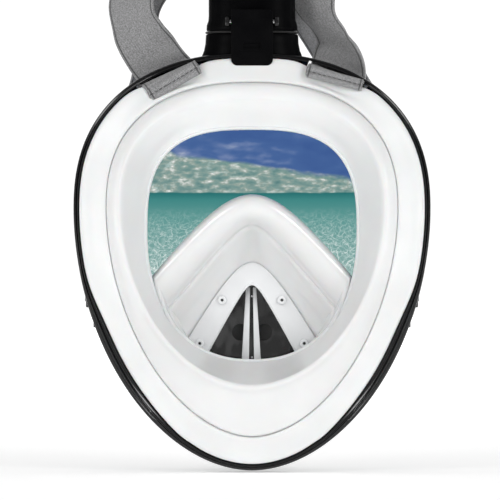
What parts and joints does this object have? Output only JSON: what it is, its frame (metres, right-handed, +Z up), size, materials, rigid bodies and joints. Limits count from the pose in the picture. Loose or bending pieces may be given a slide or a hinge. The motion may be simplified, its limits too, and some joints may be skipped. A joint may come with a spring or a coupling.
{
  "type": "full face snorkel mask",
  "caption": "Full face snorkel mask with black frame, clear lens, white silicone skirt and nose cup, dry-top snorkel and grey webbing harness flipped forward.",
  "frame": {"origin": "on the symmetry plane, level with the rim's widest part and in the plane of the frame's top and chin, at the face seal", "axes": "+Z up along the snorkel, -Y towards the wearer's face, +X towards the wearer's right"},
  "size_m": [0.1958, 0.0909, 0.4863],
  "materials": {
    "gloss_black": "gloss",
    "clear_lens": "clear",
    "white_silicone": "satin",
    "white_plastic": "gloss",
    "screw_steel": "satin",
    "black_rubber": "matte",
    "float_plastic": "matte",
    "orange_plastic": "gloss",
    "grey_webbing": "matte"
  },
  "bodies": {
    "mask": {"back_yoke": "grey_webbing", "centre_post": "white_plastic", "cup_retainer": "white_plastic", "cup_screw_1": "white_plastic", "cup_screw_2": "white_plastic", "cup_screw_3": "white_plastic", "cup_screw_4": "white_plastic", "drain_cover": "gloss_black", "drain_valve_seat": "gloss_black", "face_skirt": "white_silicone", "frame_screw_1": "screw_steel", "frame_screw_2": "screw_steel", "frame_screw_3": "screw_steel", "frame_screw_4": "screw_steel", "front_housing": "gloss_black", "inhale_valve_seat_left": "white_plastic", "inhale_valve_seat_right": "white_plastic", "lens": "clear_lens", "lower_frame": "gloss_black", "lower_strap_left": "grey_webbing", "lower_strap_right": "grey_webbing", "nose_cup": "white_silicone", "post_screw_bottom": "screw_steel", "post_screw_top": "screw_steel", "side_duct_cover_left": "gloss_black", "side_duct_cover_right": "gloss_black", "upper_frame": "gloss_black", "upper_strap_left": "grey_webbing", "upper_strap_right": "grey_webbing"},
    "snorkel": {"snorkel_tube": "gloss_black", "tube_divider_left": "gloss_black", "tube_divider_right": "gloss_black", "foot_seal": "black_rubber", "latch_pin": "screw_steel", "dry_top_base": "gloss_black", "float_guide_pin": "screw_steel", "top_cap": "orange_plastic", "cap_screw_1": "screw_steel", "cap_screw_2": "screw_steel"},
    "float": {"float": "float_plastic", "float_seal": "black_rubber"},
    "latch": {"latch_tab": "gloss_black"},
    "drain_flap": {"drain_flap": "black_rubber"},
    "inhale_flap_left": {"inhale_flap_left": "white_silicone"},
    "inhale_flap_right": {"inhale_flap_right": "white_silicone"},
    "adjuster_left": {"strap_adjuster_left": "gloss_black"},
    "adjuster_right": {"strap_adjuster_right": "gloss_black"},
    "clip_left": {"lower_clip_left": "gloss_black"},
    "clip_right": {"lower_clip_right": "gloss_black"}
  },
  "joints": [
    {"name": "snorkel_lift", "type": "slide", "parent": "mask", "child": "snorkel", "axis": [0, 0, 1], "range_m": [0, 0.03]},
    {"name": "float_rise", "type": "slide", "parent": "snorkel", "child": "float", "axis": [0, 0, 1], "range_m": [0, 0.006]},
    {"name": "latch_tilt", "type": "hinge", "parent": "snorkel", "child": "latch", "pos_m": [0, -0.0065, 0.1034], "axis": [-1, 0, 0], "range_deg": [0, 12]},
    {"name": "drain_open", "type": "slide", "parent": "mask", "child": "drain_flap", "axis": [0, 1, 0], "range_m": [0, 0.0015], "stiffness_N_per_m": 50, "springref_m": -0.0003},
    {"name": "inhale_left_open", "type": "slide", "parent": "mask", "child": "inhale_flap_left", "axis": [0.306, -0.3428, -0.8882], "range_m": [0, 0.0012], "stiffness_N_per_m": 50, "springref_m": -0.0003},
    {"name": "inhale_right_open", "type": "slide", "parent": "mask", "child": "inhale_flap_right", "axis": [-0.306, -0.3428, -0.8882], "range_m": [0, 0.0012], "stiffness_N_per_m": 50, "springref_m": -0.0003},
    {"name": "adjuster_left_slide", "type": "slide", "parent": "mask", "child": "adjuster_left", "axis": [-0.0234, -0.351, -0.9361], "range_m": [-0.007, 0.007]},
    {"name": "adjuster_right_slide", "type": "slide", "parent": "mask", "child": "adjuster_right", "axis": [0.0234, -0.351, -0.9361], "range_m": [-0.007, 0.007]},
    {"name": "clip_left_swivel", "type": "hinge", "parent": "mask", "child": "clip_left", "pos_m": [-0.07845, -0.00706, -0.0582], "axis": [-0.766, 0.6428, 0], "range_deg": [-5, 5]},
    {"name": "clip_right_swivel", "type": "hinge", "parent": "mask", "child": "clip_right", "pos_m": [0.07845, -0.00706, -0.0582], "axis": [0.766, 0.6428, 0], "range_deg": [-5, 5]}
  ]
}
